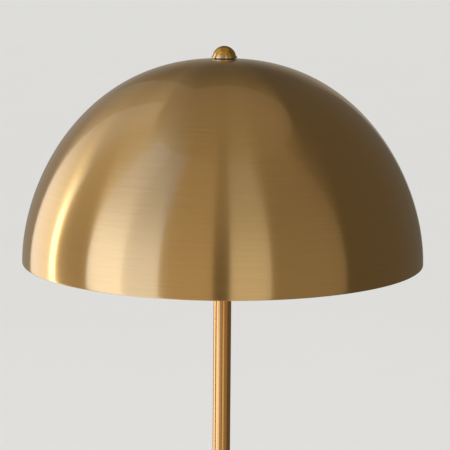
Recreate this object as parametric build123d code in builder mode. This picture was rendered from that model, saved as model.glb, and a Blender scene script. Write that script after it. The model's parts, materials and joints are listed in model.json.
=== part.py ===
from build123d import *
import math
import os

# Mushroom floor lamp: a spun brass dome on a harp, on a three-piece pole and a weighted round base.
# Millimetres, +Z up, origin at the centre of the base's underside. The harp lies in the XZ plane, the
# switch knob points to -Y (the front) and the cord inlet is at +Y (the back).

# ---- Driving dimensions -------------------------------------------------------------------------

overall_height = 1500.0

# Shade
shade_radius = 200.0
shade_height = 200.5          # from the rim to the flat on its crown
dome_lean = 0.002             # the next four shape its curve, as parts of its radius and height
dome_upright = 0.4
dome_shoulder = 0.692
dome_fall = 0.018             # the crown slopes a little round its flat
shade_wall = 1.0
shade_seat_radius = 13.0      # flat on the crown, under the finial
shade_hem_width = 1.0         # the edge is folded in flat against the wall
shade_hem_height = 4.0
shade_rim_round = 0.8
shade_washer_radius = 11.5
shade_washer_thickness = 1.5

# Finial
finial_radius = 12.5
finial_height = 12.0
finial_lip_height = 2.0
finial_lip_step = 0.9         # the ball starts this far inside the lip
finial_lip_round = 0.3
finial_washer_radius = 10.5
finial_washer_thickness = 0.6
finial_insert_radius = 5.0
finial_insert_length = 8.6

# Harp and its saddle
stud_radius = 3.175
stud_flange_radius = 5.5
stud_flange_thickness = 2.0
stud_length = 11.0
rivet_radius = 2.2
rivet_head_radius = 3.8
rivet_head_thickness = 1.2
harp_wire_radius = 1.9
harp_pad_radius = 8.0
harp_leg_spread = 31.2        # from the axis to each leg at the saddle
harp_leg_start = 2.2          # above the saddle
harp_half_width = 58.0        # from the axis to each wire at the widest
harp_leg_corner = 42.0        # height above the saddle where the legs turn outwards
harp_swell_corner = 90.0      # height above the saddle where they turn upright again
harp_shoulder_drop = 45.0
harp_top_half = 26.0
harp_bend_radii = (40.0, 60.0, 40.0, 30.0)
saddle_thickness = 1.6
saddle_disc_radius = 10.5
saddle_arm_width = 6.0
saddle_arm_height = 13.0
saddle_arm_gap = 0.25
saddle_bend_radius = 1.5
ferrule_wall = 0.8
ferrule_height = 14.0
ferrule_round = 1.6

# Pole
pole_radius = 9.0
pole_wall = 1.2
pole_sections = ("pole_lower", "pole_middle", "pole_upper")
pole_top_below_rim = 30.0
pole_cap_height = 5.0
pole_cap_edge = 2.0
pole_cap_top_radius = 7.4
insert_length = 14.0
insert_recess = 0.1           # below the tube's end
nipple_radius = 5.0
nipple_bore = 4.0
nipple_short = 2.0            # a nipple stops this far before its insert's end
top_nipple_reach = 10.0       # above the saddle

# Lampholder, heights above the saddle
socket_cap_height = 22.0
socket_cap_radius = 17.2
socket_cap_base_radius = 11.0
socket_cap_cone = 13.0
socket_cap_rounds = (3.0, 4.0)
socket_cap_wall = 0.6
socket_collar_radius = 7.5
socket_collar_height = 8.0
cap_screw_radius = 1.5
cap_screw_height = 4.5
cap_screw_reach = 12.0        # from the axis to its end, outside the cap's foot
socket_height = 62.0
socket_shell_wall = 0.5
socket_mouth_radius = 15.3
socket_lip_round = 0.8
socket_lap = 5.0              # the shell goes this far into the cap
sleeve_wall = 0.8
switch_body_bottom = 18.0
switch_body_flat = 11.0       # from the axis to the flats under the terminal screws
switch_flat_height = 9.0
terminal_screw_radius = 1.5
terminal_screw_head = 3.0
terminal_screw_head_height = 2.0
terminal_screw_length = 5.5
screw_shell_radius = 13.45
screw_shell_wall = 0.4
screw_shell_height = 21.0
screw_shell_drop = 5.0        # its edge is this far below the socket's
screw_shell_floor_radius = 6.0
contact_width = 5.0
contact_leaf = 0.6
contact_rise = 3.2
contact_foot = 5.0
contact_riser = 3.6
contact_tip = 2.6
switch_axis_height = 28.5
switch_shaft_radius = 1.6
switch_shaft_inner = 8.0
switch_shaft_outer = 36.0
switch_hole_radius = 3.0
knob_radius = 5.2
knob_near = 24.0
knob_far = 39.0
knob_flutes = 12
knob_flute_radius = 0.8
knob_chamfer = 0.8

# Bulb, heights above its contact
bulb_radius = 30.0
bulb_length = 107.0
bulb_cap_radius = 13.1
bulb_cap_wall = 0.3
bulb_cap_start = 6.0
bulb_cap_end = 25.0
bulb_contact_tip = 2.2
bulb_contact_radius = 4.6
bulb_contact_edge = 0.8
bulb_contact_height = 2.0
bulb_insulator_radius = 12.0
bulb_insulator_tip = 5.6      # its radius at the contact
bulb_spigot_length = 6.0
bulb_neck_radius = 14.3
bulb_neck_end = 28.0
bulb_housing_wall = 1.2
bulb_diffuser_wall = 1.0
led_board_thickness = 1.5
led_board_drop = 1.5
led_board_margin = 0.8
driver_width = 17.0
driver_thickness = 1.4
driver_bottom = 14.0

# Base
base_radius = 140.0
base_height = 30.0
base_edge_height = 25.0
base_shoulder = 9.0
base_crown_radius = 34.0      # flat middle of the cover
base_wall = 1.2
base_lift = 2.4               # bottom edge of the cover above the floor
pad_thickness = 2.0
pad_margin = 4.0
plate_thickness = 1.5
pocket_radius = 48.0
pocket_depth = 16.0
channel_width = 16.0
collar_radius = 17.0
collar_edge = 2.5
collar_top_radius = 12.0
collar_height = 9.0
collar_round = 1.0
washer_radius = 12.0
washer_thickness = 1.6
nut_across_flats = 17.0
nut_thickness = 4.0
nut_to_nipple_end = 1.0
plate_screw_count = 3
plate_screw_circle_radius = 100.0
plate_screw_radius = 2.0
plate_screw_length = 10.0
plate_screw_start = -90.0     # the first screw is at the front
countersink_angle = 45.0
inlet_height = 10.0
inlet_bore = 3.3
inlet_body_radius = 5.0
inlet_flange_radius = 6.0
inlet_flange = 1.8

# Wiring
lead_radius = 1.2
lead_spread = 1.9             # from the axis to each lead inside the pole
lead_height = 9.4
lead_entry = 4.0              # each lead goes this far into its barrel
lead_run = 5.0                # straight run out of the terminal block
lead_merge = 9.0              # distance from the axis where two leads lie side by side
lead_bends = (6.0, 6.0, 4.2, 4.0, 2.4)
lead_part_start = 1.5         # above the top nipple, where the two leads part
lead_part_end = 4.5
terminal_pitch = 8.0
block_near = 24.0
block_depth = 17.0
block_side = 5.0              # plastic beside the outer terminals' centres
block_floor_gap = 0.4
barrel_side = 4.6
barrel_bore = 1.5
clamp_screw_radius = 1.2
clamp_screw_length = 3.4
clamp_screw_inset = 3.5       # from the block's two long faces
block_screw_radius = 1.1
block_screw_head = 2.2
block_screw_head_height = 1.6
block_screw_grip = 5.0
tag_radius = 4.0
tag_thickness = 0.8
tag_barrel_radius = 1.9
tag_barrel_bore = 1.25
tag_barrel_near = 4.0         # from the screw's axis
tag_barrel_far = 10.0
tag_x = 20.0
tag_y = 2.0
earth_bend_run = 3.0
earth_bends = (5.0, 4.0)
earth_screw_radius = 2.0
earth_screw_head = 3.6
earth_screw_head_height = 2.4
earth_screw_grip = 6.0

# Fits and clearances
shaft_clearance = 0.05        # a shaft that turns, or a thread in its hole
press_clearance = 0.02        # what is pressed or crimped and stays
loose_clearance = 0.3         # between bodies that slide past each other
stud_clearance = 0.45         # the shade's hole round the stud
cover_clearance = 0.4         # the iron weight inside its cover
contact_clearance = 0.2       # under the bulb's contact

# ---- Levels worked out from them ----------------------------------------------------------------

finial_bottom = overall_height - finial_height
crown_top = finial_bottom - finial_washer_thickness
rim_bottom = crown_top - shade_height
shade_inner = shade_radius - shade_wall
crown_under = crown_top - shade_wall
shade_hole = stud_radius + stud_clearance
stud_flange_top = crown_under - shade_washer_thickness
harp_pad_top = stud_flange_top - stud_flange_thickness
harp_crown = harp_pad_top - harp_wire_radius
harp_pad_bottom = harp_crown - harp_wire_radius

pole_top = rim_bottom - pole_top_below_rim
pole_inner = pole_radius - pole_wall
section_length = (pole_top - base_height) / len(pole_sections)
thread_hole = nipple_radius + shaft_clearance
saddle_bottom = pole_top + pole_cap_height
saddle_top = saddle_bottom + saddle_thickness
arm_inner = harp_leg_spread + harp_wire_radius + saddle_arm_gap
arm_outer = arm_inner + saddle_thickness

cap_top = saddle_top + socket_cap_height
shell_outer = socket_cap_radius - socket_cap_wall - press_clearance
shell_inner = shell_outer - socket_shell_wall
shell_bottom = cap_top - socket_lap
shell_top = saddle_top + socket_height
sleeve_outer = shell_inner - press_clearance
body_radius = sleeve_outer - sleeve_wall - shaft_clearance
body_bottom = saddle_top + switch_body_bottom
body_top = shell_top - screw_shell_drop - screw_shell_height
switch_axis = saddle_top + switch_axis_height
terminal_axis = body_bottom + switch_flat_height / 2
contact_top = body_top + contact_leaf + contact_rise
bulb_bottom = contact_top + contact_clearance
cap_start = bulb_bottom + bulb_cap_start
cap_end = bulb_bottom + bulb_cap_end
bulb_top = bulb_bottom + bulb_length
bulb_equator = bulb_top - bulb_radius
led_board_top = bulb_equator - led_board_drop

plate_top = pad_thickness + plate_thickness
plate_radius = base_radius - base_wall - cover_clearance
pocket_top = plate_top + pocket_depth
nut_top = pocket_top - washer_thickness
nut_bottom = nut_top - nut_thickness
block_bottom = plate_top + block_floor_gap
block_middle = block_near + block_depth / 2
terminal_places = (-terminal_pitch, 0.0, terminal_pitch)
clamp_places = (block_near + clamp_screw_inset, block_near + block_depth - clamp_screw_inset)
clamp_top = lead_height - lead_radius - shaft_clearance
tag_bottom = pocket_top - tag_thickness
tag_barrel_axis = pocket_top - tag_barrel_radius - shaft_clearance

os.makedirs("parts", exist_ok=True)


# ---- Shapes used by several pieces --------------------------------------------------------------

def save(piece, label):
    """Name a finished piece and write it."""
    piece.part.label = label
    export_step(piece.part, f"parts/{label}.step")


def level(height):
    return Plane.XY.offset(height)


def facing(direction, x, y, z):
    """A plane at a point, looking forwards (-Y), backwards (+Y) or to a side (+X or -X)."""
    return Plane(origin=(x, y, z), x_dir=(direction[1], -direction[0], 0), z_dir=direction)


FRONT = (0, -1, 0)
BACK = (0, 1, 0)


def rod(plane, radius, length, bore=0.0, mode=Mode.ADD):
    """A round bar, tube or hole that starts on a plane."""
    with BuildSketch(plane) as section:
        Circle(radius)
        if bore:
            Circle(bore, mode=Mode.SUBTRACT)
    extrude(section.sketch, amount=length, mode=mode)


def ring(outer, bottom, top, bore=0.0, mode=Mode.ADD):
    """The same round the Z axis, between two heights."""
    rod(level(bottom), outer, top - bottom, bore, mode)


def turned(*points, mode=Mode.ADD):
    """A closed outline of (radius, height) points, turned about the Z axis."""
    with BuildSketch(Plane.XZ) as outline:
        with BuildLine():
            Polyline(*points, close=True)
        make_face()
    revolve(outline.sketch, axis=Axis.Z, mode=mode)


def wire(points, radii, radius):
    """A round wire along straight runs joined by arcs."""
    with BuildLine() as route:
        FilletPolyline(*points, radius=radii)
    with BuildSketch(Plane(origin=route.line @ 0, z_dir=route.line % 0)) as section:
        Circle(radius)
    sweep(section.sketch, path=route.line)


# ---- Base ---------------------------------------------------------------------------------------

def base_form(inset, bottom, mode=Mode.ADD):
    """The base cover's outside, or the same drawn in by an inset."""
    radius = base_radius - inset
    top = base_height - inset
    corner = base_shoulder - inset
    arc_middle = (radius - corner, base_edge_height - base_shoulder)
    with BuildSketch(Plane.XZ) as outline:
        with BuildLine():
            Polyline((base_crown_radius, top), (0, top), (0, bottom), (radius, bottom),
                     (radius, arc_middle[1]))
            shoulder = CenterArc(arc_middle, corner, 0, 90)
            Line(shoulder @ 1, (base_crown_radius, top))
        make_face()
    revolve(outline.sketch, axis=Axis.Z, mode=mode)


with BuildPart() as base_pad:
    ring(plate_radius - pad_margin, 0, pad_thickness)
save(base_pad, "base_pad")


def plate_screws_shape(clearance, mode):
    """Countersunk screws on a circle, or with a clearance the holes for them."""
    with BuildSketch(level(pad_thickness)) as heads:
        with PolarLocations(plate_screw_circle_radius, plate_screw_count, plate_screw_start):
            Circle(plate_screw_radius + plate_thickness + clearance)
    extrude(heads.sketch, amount=plate_thickness, taper=countersink_angle, mode=mode)
    with BuildSketch(level(pad_thickness)) as shanks:
        with PolarLocations(plate_screw_circle_radius, plate_screw_count, plate_screw_start):
            Circle(plate_screw_radius + clearance)
    extrude(shanks.sketch, amount=plate_screw_length + clearance, mode=mode)


with BuildPart() as plate_screws:
    plate_screws_shape(0.0, Mode.ADD)
save(plate_screws, "plate_screws")

with BuildPart() as base_plate:
    ring(plate_radius, pad_thickness, plate_top)
    plate_screws_shape(shaft_clearance, Mode.SUBTRACT)
save(base_plate, "base_plate")

with BuildPart() as base_weight:
    base_form(base_wall + cover_clearance, plate_top)
    ring(pocket_radius, plate_top, pocket_top, mode=Mode.SUBTRACT)
    with BuildSketch(level(plate_top)):
        Rectangle(channel_width, base_radius, align=(Align.CENTER, Align.MIN))
    extrude(amount=pocket_depth, mode=Mode.SUBTRACT)
    ring(thread_hole, plate_top, base_height, mode=Mode.SUBTRACT)
    plate_screws_shape(shaft_clearance, Mode.SUBTRACT)
    with BuildSketch(level(pocket_top)):
        with Locations((-terminal_pitch / 2, block_middle), (terminal_pitch / 2, block_middle)):
            Circle(block_screw_radius + shaft_clearance)
    extrude(amount=block_screw_grip + shaft_clearance, mode=Mode.SUBTRACT)
    with BuildSketch(level(pocket_top)):
        with Locations((tag_x, tag_y)):
            Circle(earth_screw_radius + shaft_clearance)
    extrude(amount=earth_screw_grip + shaft_clearance, mode=Mode.SUBTRACT)
save(base_weight, "base_weight")

with BuildPart() as base_shell:
    base_form(0, base_lift)
    base_form(base_wall, 0, mode=Mode.SUBTRACT)
    ring(thread_hole, 0, base_height, mode=Mode.SUBTRACT)
    rod(facing(BACK, 0, base_radius - base_shoulder, inlet_height),
        inlet_body_radius + shaft_clearance, base_shoulder, mode=Mode.SUBTRACT)
save(base_shell, "base_shell")

# The bush's two flanges are flat, so each stands clear of the round wall it grips.
wall_inside = math.sqrt((base_radius - base_wall)**2 - inlet_flange_radius**2) - shaft_clearance
with BuildPart() as cord_bush:
    rod(facing(BACK, 0, wall_inside - inlet_flange, inlet_height),
        inlet_body_radius, base_radius - wall_inside + 2 * inlet_flange)
    rod(facing(BACK, 0, wall_inside - inlet_flange, inlet_height), inlet_flange_radius, inlet_flange)
    rod(facing(BACK, 0, base_radius, inlet_height), inlet_flange_radius, inlet_flange)
    rod(facing(BACK, 0, wall_inside - inlet_flange, inlet_height),
        inlet_bore, base_radius - wall_inside + 2 * inlet_flange, mode=Mode.SUBTRACT)
save(cord_bush, "cord_bush")

with BuildPart() as base_collar:
    turned((pole_radius + press_clearance, base_height), (collar_radius, base_height),
           (collar_radius, base_height + collar_edge), (collar_top_radius, base_height + collar_height),
           (pole_radius + press_clearance, base_height + collar_height))
    fillet(base_collar.edges().filter_by(GeomType.CIRCLE).filter_by(
        lambda edge: edge.radius > collar_top_radius - collar_round and edge.center().Z > base_height),
        collar_round)
save(base_collar, "base_collar")

with BuildPart() as base_nipple:
    ring(nipple_radius, nut_bottom - nut_to_nipple_end, base_height + insert_length - nipple_short,
         bore=nipple_bore)
save(base_nipple, "base_nipple")

with BuildPart() as base_washer:
    ring(washer_radius, nut_top, pocket_top, bore=thread_hole)
save(base_washer, "base_washer")

with BuildPart() as base_nut:
    with BuildSketch(level(nut_bottom)):
        RegularPolygon(nut_across_flats / 2, 6, major_radius=False)
        Circle(thread_hole, mode=Mode.SUBTRACT)
    extrude(amount=nut_thickness)
save(base_nut, "base_nut")


# ---- Wiring in the base -------------------------------------------------------------------------

def clamp_shape(radius, bottom, top, mode=Mode.ADD):
    """Two screws, or screw holes, under each terminal."""
    with BuildSketch(level(bottom)) as section:
        with Locations(*[(x, y) for x in terminal_places for y in clamp_places]):
            Circle(radius)
    extrude(section.sketch, amount=top - bottom, mode=mode)


def barrel_shape(side, bore, mode=Mode.ADD):
    """A square barrel, or its housing, at each terminal."""
    with BuildSketch(facing(BACK, 0, block_near, lead_height)) as section:
        with Locations(*[(x, 0) for x in terminal_places]):
            Rectangle(side, side)
            if bore:
                Circle(bore, mode=Mode.SUBTRACT)
    extrude(section.sketch, amount=block_depth, mode=mode)


def block_screw_shape(radius, bottom, top, mode=Mode.ADD):
    """Two screws, or screw holes, between the terminals."""
    with BuildSketch(level(bottom)) as section:
        with Locations((-terminal_pitch / 2, block_middle), (terminal_pitch / 2, block_middle)):
            Circle(radius)
    extrude(section.sketch, amount=top - bottom, mode=mode)


block_head_top = block_bottom + block_screw_head_height
with BuildPart() as terminal_block:
    with BuildSketch(level(block_bottom)):
        with Locations((0, block_near)):
            Rectangle(2 * (terminal_pitch + block_side), block_depth, align=(Align.CENTER, Align.MIN))
    extrude(amount=pocket_top - block_bottom)
    barrel_shape(barrel_side + 2 * shaft_clearance, 0, mode=Mode.SUBTRACT)
    clamp_shape(clamp_screw_radius + loose_clearance, block_bottom, lead_height, mode=Mode.SUBTRACT)
    block_screw_shape(block_screw_radius + shaft_clearance, block_bottom, pocket_top, mode=Mode.SUBTRACT)
    block_screw_shape(block_screw_head + shaft_clearance, block_bottom, block_head_top, mode=Mode.SUBTRACT)
save(terminal_block, "terminal_block")

with BuildPart() as terminal_barrels:
    barrel_shape(barrel_side, barrel_bore)
    clamp_shape(clamp_screw_radius + shaft_clearance, block_bottom, lead_height, mode=Mode.SUBTRACT)
save(terminal_barrels, "terminal_barrels")

with BuildPart() as clamp_screws:
    clamp_shape(clamp_screw_radius, clamp_top - clamp_screw_length, clamp_top)
save(clamp_screws, "clamp_screws")

with BuildPart() as block_screws:
    block_screw_shape(block_screw_head, block_bottom, block_head_top)
    block_screw_shape(block_screw_radius, block_bottom, pocket_top + block_screw_grip)
save(block_screws, "block_screws")

with BuildPart() as earth_tag:
    with BuildSketch(level(tag_bottom)):
        with Locations((tag_x, tag_y)):
            Circle(tag_radius)
            Rectangle(2 * tag_barrel_radius, tag_barrel_far, align=(Align.CENTER, Align.MIN))
            Circle(earth_screw_radius + shaft_clearance, mode=Mode.SUBTRACT)
    extrude(amount=tag_thickness)
    tag_barrel_plane = facing(BACK, tag_x, tag_y + tag_barrel_near, tag_barrel_axis)
    rod(tag_barrel_plane, tag_barrel_radius, tag_barrel_far - tag_barrel_near)
    rod(tag_barrel_plane, tag_barrel_bore, tag_barrel_far - tag_barrel_near, mode=Mode.SUBTRACT)
save(earth_tag, "earth_tag")

earth_plane = Plane(origin=(tag_x, tag_y, tag_bottom - earth_screw_head_height))
with BuildPart() as earth_screw:
    rod(earth_plane, earth_screw_head, earth_screw_head_height)
    rod(earth_plane, earth_screw_radius, earth_screw_head_height + tag_thickness + earth_screw_grip)
save(earth_screw, "earth_screw")

with BuildPart() as lead_earth:
    earth_start = block_near + lead_entry
    earth_turn = block_near - lead_run
    earth_end = tag_y + tag_barrel_near + press_clearance
    wire([(terminal_pitch, earth_start, lead_height), (terminal_pitch, earth_turn, lead_height),
          (tag_x, tag_y + tag_barrel_far + earth_bend_run, tag_barrel_axis),
          (tag_x, earth_end, tag_barrel_axis)], earth_bends, lead_radius)
save(lead_earth, "lead_earth")


def inner_lead(terminal, side):
    """One insulated lead from its terminal in the base, up the pole, to the lampholder."""
    x = side * lead_spread
    exit_height = saddle_top + top_nipple_reach
    foot = side * body_radius / 2
    wire([(terminal, block_near + lead_entry, lead_height), (terminal, block_near - lead_run, lead_height),
          (x, lead_merge, lead_height), (x, 0, lead_height),
          (x, 0, exit_height + lead_part_start), (foot, 0, exit_height + lead_part_end),
          (foot, 0, body_bottom)],
         lead_bends, lead_radius)


with BuildPart() as lead_live:
    inner_lead(terminal_places[0], -1)
save(lead_live, "lead_live")

with BuildPart() as lead_neutral:
    inner_lead(terminal_places[1], 1)
save(lead_neutral, "lead_neutral")


# ---- Pole ---------------------------------------------------------------------------------------

joint_heights = [base_height + section_length * n for n in range(len(pole_sections) + 1)]
for bottom, top, label in zip(joint_heights, joint_heights[1:], pole_sections):
    with BuildPart() as pole_tube:
        ring(pole_radius, bottom, top, bore=pole_inner)
    save(pole_tube, label)

with BuildPart() as pole_inserts:
    for bottom, top in zip(joint_heights, joint_heights[1:]):
        for start in (bottom + insert_recess, top - insert_recess - insert_length):
            ring(pole_inner - press_clearance, start, start + insert_length, bore=thread_hole)
save(pole_inserts, "pole_inserts")

with BuildPart() as coupling_nipples:
    for height in joint_heights[1:-1]:
        reach = insert_length - nipple_short
        ring(nipple_radius, height - reach, height + reach, bore=nipple_bore)
save(coupling_nipples, "coupling_nipples")

with BuildPart() as pole_cap:
    turned((thread_hole, pole_top), (pole_radius, pole_top), (pole_radius, pole_top + pole_cap_edge),
           (pole_cap_top_radius, saddle_bottom), (thread_hole, saddle_bottom))
save(pole_cap, "pole_cap")

with BuildPart() as top_nipple:
    ring(nipple_radius, pole_top - insert_length + nipple_short, saddle_top + top_nipple_reach,
         bore=nipple_bore)
save(top_nipple, "top_nipple")


# ---- Harp ---------------------------------------------------------------------------------------

with BuildPart() as harp_saddle:
    with BuildSketch(Plane.XZ):
        with Locations((0, saddle_bottom)):
            outer_u = Rectangle(2 * arm_outer, saddle_thickness + saddle_arm_height,
                                align=(Align.CENTER, Align.MIN))
        fillet(outer_u.vertices().group_by(Axis.Y)[0], saddle_bend_radius + saddle_thickness)
        with BuildSketch(Plane.XY, mode=Mode.PRIVATE) as u_gap:
            with Locations((0, saddle_top)):
                Rectangle(2 * arm_inner, 2 * saddle_arm_height, align=(Align.CENTER, Align.MIN))
            fillet(u_gap.vertices().group_by(Axis.Y)[0], saddle_bend_radius)
        add(u_gap.sketch, mode=Mode.SUBTRACT)
    extrude(amount=saddle_arm_width / 2, both=True)
    ring(saddle_disc_radius, saddle_bottom, saddle_top)
    ring(thread_hole, saddle_bottom, saddle_top, mode=Mode.SUBTRACT)
save(harp_saddle, "harp_saddle")

harp_side = [(harp_leg_spread, saddle_top + harp_leg_start),
             (harp_leg_spread, saddle_top + harp_leg_corner),
             (harp_half_width, saddle_top + harp_swell_corner),
             (harp_half_width, harp_crown - harp_shoulder_drop),
             (harp_top_half, harp_crown)]
harp_route = [(x, 0, z) for x, z in harp_side] + [(-x, 0, z) for x, z in reversed(harp_side)]
with BuildPart() as harp:
    wire(harp_route, harp_bend_radii + harp_bend_radii[::-1], harp_wire_radius)
    ring(harp_pad_radius, harp_pad_bottom, harp_pad_top)
    ring(rivet_radius + press_clearance, harp_pad_bottom, harp_pad_top, mode=Mode.SUBTRACT)
save(harp, "harp")

with BuildPart() as harp_stud:
    ring(rivet_head_radius, harp_pad_bottom - rivet_head_thickness, harp_pad_bottom)
    ring(rivet_radius, harp_pad_bottom, harp_pad_top)
    ring(stud_flange_radius, harp_pad_top, stud_flange_top)
    ring(stud_radius, stud_flange_top, stud_flange_top + stud_length)
save(harp_stud, "harp_stud")

cavity_inner = harp_leg_spread - harp_wire_radius - loose_clearance
cavity_width = arm_outer + loose_clearance - cavity_inner
cavity_depth = saddle_arm_width + 2 * loose_clearance
for side, label in ((-1, "ferrule_left"), (1, "ferrule_right")):
    with BuildPart() as ferrule:
        with BuildSketch(level(saddle_top)):
            with Locations((side * (cavity_inner + cavity_width / 2), 0)):
                RectangleRounded(cavity_width + 2 * ferrule_wall, cavity_depth + 2 * ferrule_wall,
                                 ferrule_round)
                Rectangle(cavity_width, cavity_depth, mode=Mode.SUBTRACT)
        extrude(amount=ferrule_height)
    save(ferrule, label)


# ---- Lampholder ---------------------------------------------------------------------------------

with BuildPart() as socket_cap:
    turned((0, saddle_top), (socket_cap_base_radius, saddle_top),
           (socket_cap_radius, saddle_top + socket_cap_cone), (socket_cap_radius, cap_top), (0, cap_top))
    cap_circles = socket_cap.edges().filter_by(GeomType.CIRCLE).group_by(Axis.Z)
    for circle, radius in zip(cap_circles, socket_cap_rounds):
        fillet(circle, radius)
    offset(amount=-socket_cap_wall, openings=socket_cap.faces().sort_by(Axis.Z)[-1])
    ring(socket_collar_radius, saddle_top, saddle_top + socket_collar_height)
    ring(thread_hole, saddle_top, cap_top, mode=Mode.SUBTRACT)
    rod(facing(BACK, 0, 0, saddle_top + cap_screw_height), cap_screw_radius + shaft_clearance,
        socket_cap_radius, mode=Mode.SUBTRACT)
save(socket_cap, "socket_cap")

with BuildPart() as cap_screw:
    rod(facing(BACK, 0, thread_hole, saddle_top + cap_screw_height), cap_screw_radius,
        cap_screw_reach - thread_hole)
save(cap_screw, "cap_screw")


def switch_hole(radius):
    """The way through a wall for the switch's shaft."""
    rod(facing(FRONT, 0, 0, switch_axis), radius, socket_cap_radius, mode=Mode.SUBTRACT)


with BuildPart() as socket_shell:
    ring(shell_outer, shell_bottom, shell_top, bore=shell_inner)
    ring(shell_outer, shell_top - socket_shell_wall, shell_top, bore=socket_mouth_radius)
    fillet(socket_shell.edges().filter_by(GeomType.CIRCLE).group_by(Axis.Z)[-1].sort_by(
        lambda edge: edge.radius)[-1], socket_lip_round)
    switch_hole(switch_hole_radius)
save(socket_shell, "socket_shell")

with BuildPart() as socket_sleeve:
    ring(sleeve_outer, shell_bottom, shell_top - socket_shell_wall - socket_lip_round,
         bore=sleeve_outer - sleeve_wall)
    switch_hole(switch_hole_radius)
save(socket_sleeve, "socket_sleeve")

with BuildPart() as switch_body:
    ring(body_radius, body_bottom, body_top)
    with BuildSketch(level(body_bottom)):
        Rectangle(2 * body_radius, 2 * body_radius)
        Rectangle(2 * switch_body_flat, 2 * body_radius, mode=Mode.SUBTRACT)
    extrude(amount=switch_flat_height, mode=Mode.SUBTRACT)
    for side in (-1, 1):
        rod(facing((side, 0, 0), 0, 0, terminal_axis), terminal_screw_radius + shaft_clearance,
            body_radius, mode=Mode.SUBTRACT)
    rod(facing(FRONT, 0, -switch_shaft_inner, switch_axis), switch_shaft_radius + shaft_clearance,
        body_radius, mode=Mode.SUBTRACT)
save(switch_body, "switch_body")

with BuildPart() as terminal_screws:
    for side in (-1, 1):
        rod(facing((side, 0, 0), side * (switch_body_flat - terminal_screw_length), 0, terminal_axis),
            terminal_screw_radius, terminal_screw_length)
        rod(facing((side, 0, 0), side * switch_body_flat, 0, terminal_axis), terminal_screw_head,
            terminal_screw_head_height)
save(terminal_screws, "terminal_screws")

with BuildPart() as screw_shell:
    ring(screw_shell_radius + screw_shell_wall, body_top, body_top + screw_shell_height,
         bore=screw_shell_radius)
    ring(screw_shell_radius + screw_shell_wall, body_top, body_top + screw_shell_wall,
         bore=screw_shell_floor_radius)
save(screw_shell, "screw_shell")

with BuildPart() as centre_contact:
    with BuildSketch(Plane.XZ):
        with BuildLine():
            Polyline((-contact_foot, body_top), (contact_riser, body_top), (contact_riser, contact_top),
                     (-contact_tip, contact_top), (-contact_tip, contact_top - contact_leaf),
                     (contact_riser - contact_leaf, contact_top - contact_leaf),
                     (contact_riser - contact_leaf, body_top + contact_leaf),
                     (-contact_foot, body_top + contact_leaf), close=True)
        make_face()
    extrude(amount=contact_width / 2, both=True)
save(centre_contact, "centre_contact")

with BuildPart() as switch_shaft:
    rod(facing(FRONT, 0, -switch_shaft_inner, switch_axis), switch_shaft_radius,
        switch_shaft_outer - switch_shaft_inner)
save(switch_shaft, "switch_shaft")

with BuildPart() as switch_knob:
    rod(facing(FRONT, 0, -knob_near, switch_axis), knob_radius, knob_far - knob_near)
    chamfer(switch_knob.edges().filter_by(GeomType.CIRCLE), knob_chamfer)
    with BuildSketch(facing(FRONT, 0, -knob_near, switch_axis)):
        with PolarLocations(knob_radius, knob_flutes):
            Circle(knob_flute_radius)
    extrude(amount=knob_far - knob_near, mode=Mode.SUBTRACT)
    rod(facing(FRONT, 0, -knob_near, switch_axis), switch_shaft_radius + press_clearance,
        switch_shaft_outer - knob_near, mode=Mode.SUBTRACT)
save(switch_knob, "switch_knob")


# ---- Bulb ---------------------------------------------------------------------------------------

with BuildPart() as bulb_contact:
    turned((0, bulb_bottom), (bulb_contact_tip, bulb_bottom),
           (bulb_contact_radius, bulb_bottom + bulb_contact_edge),
           (bulb_contact_radius, bulb_bottom + bulb_contact_height),
           (0, bulb_bottom + bulb_contact_height))
save(bulb_contact, "bulb_contact")

with BuildPart() as bulb_insulator:
    turned((0, bulb_bottom + bulb_contact_height),
           (bulb_insulator_tip, bulb_bottom + bulb_contact_height),
           (bulb_insulator_radius, cap_start), (0, cap_start))
save(bulb_insulator, "bulb_insulator")

with BuildPart() as bulb_cap:
    ring(bulb_cap_radius, cap_start, cap_end)
    ring(bulb_cap_radius - bulb_cap_wall, cap_start + bulb_cap_wall, cap_end, mode=Mode.SUBTRACT)
save(bulb_cap, "bulb_cap")

spigot_radius = bulb_cap_radius - bulb_cap_wall - press_clearance
with BuildPart() as bulb_housing:
    with BuildSketch(Plane.XZ):
        with BuildLine():
            neck_end = bulb_bottom + bulb_neck_end
            neck_inner = bulb_neck_radius - bulb_housing_wall
            spigot_inner = spigot_radius - bulb_housing_wall
            Polyline((bulb_neck_radius, neck_end), (bulb_neck_radius, cap_end), (spigot_radius, cap_end),
                     (spigot_radius, cap_end - bulb_spigot_length),
                     (spigot_inner, cap_end - bulb_spigot_length), (spigot_inner, cap_end),
                     (neck_inner, neck_end))
            Spline((neck_inner, neck_end), (bulb_radius - bulb_housing_wall, bulb_equator),
                   tangents=((0, 1), (0, 1)))
            Line((bulb_radius - bulb_housing_wall, bulb_equator), (bulb_radius, bulb_equator))
            Spline((bulb_neck_radius, neck_end), (bulb_radius, bulb_equator), tangents=((0, 1), (0, 1)))
        make_face()
    revolve(axis=Axis.Z)
save(bulb_housing, "bulb_housing")

with BuildPart() as bulb_diffuser:
    with BuildSketch(Plane.XZ):
        with BuildLine():
            outside = CenterArc((0, bulb_equator), bulb_radius, 0, 90)
            inside = CenterArc((0, bulb_equator), bulb_radius - bulb_diffuser_wall, 0, 90)
            Line(outside @ 0, inside @ 0)
            Line(outside @ 1, inside @ 1)
        make_face()
    revolve(axis=Axis.Z)
save(bulb_diffuser, "bulb_diffuser")

with BuildPart() as led_board:
    ring(bulb_radius - bulb_housing_wall - led_board_margin, led_board_top - led_board_thickness,
         led_board_top)
save(led_board, "led_board")

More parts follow.
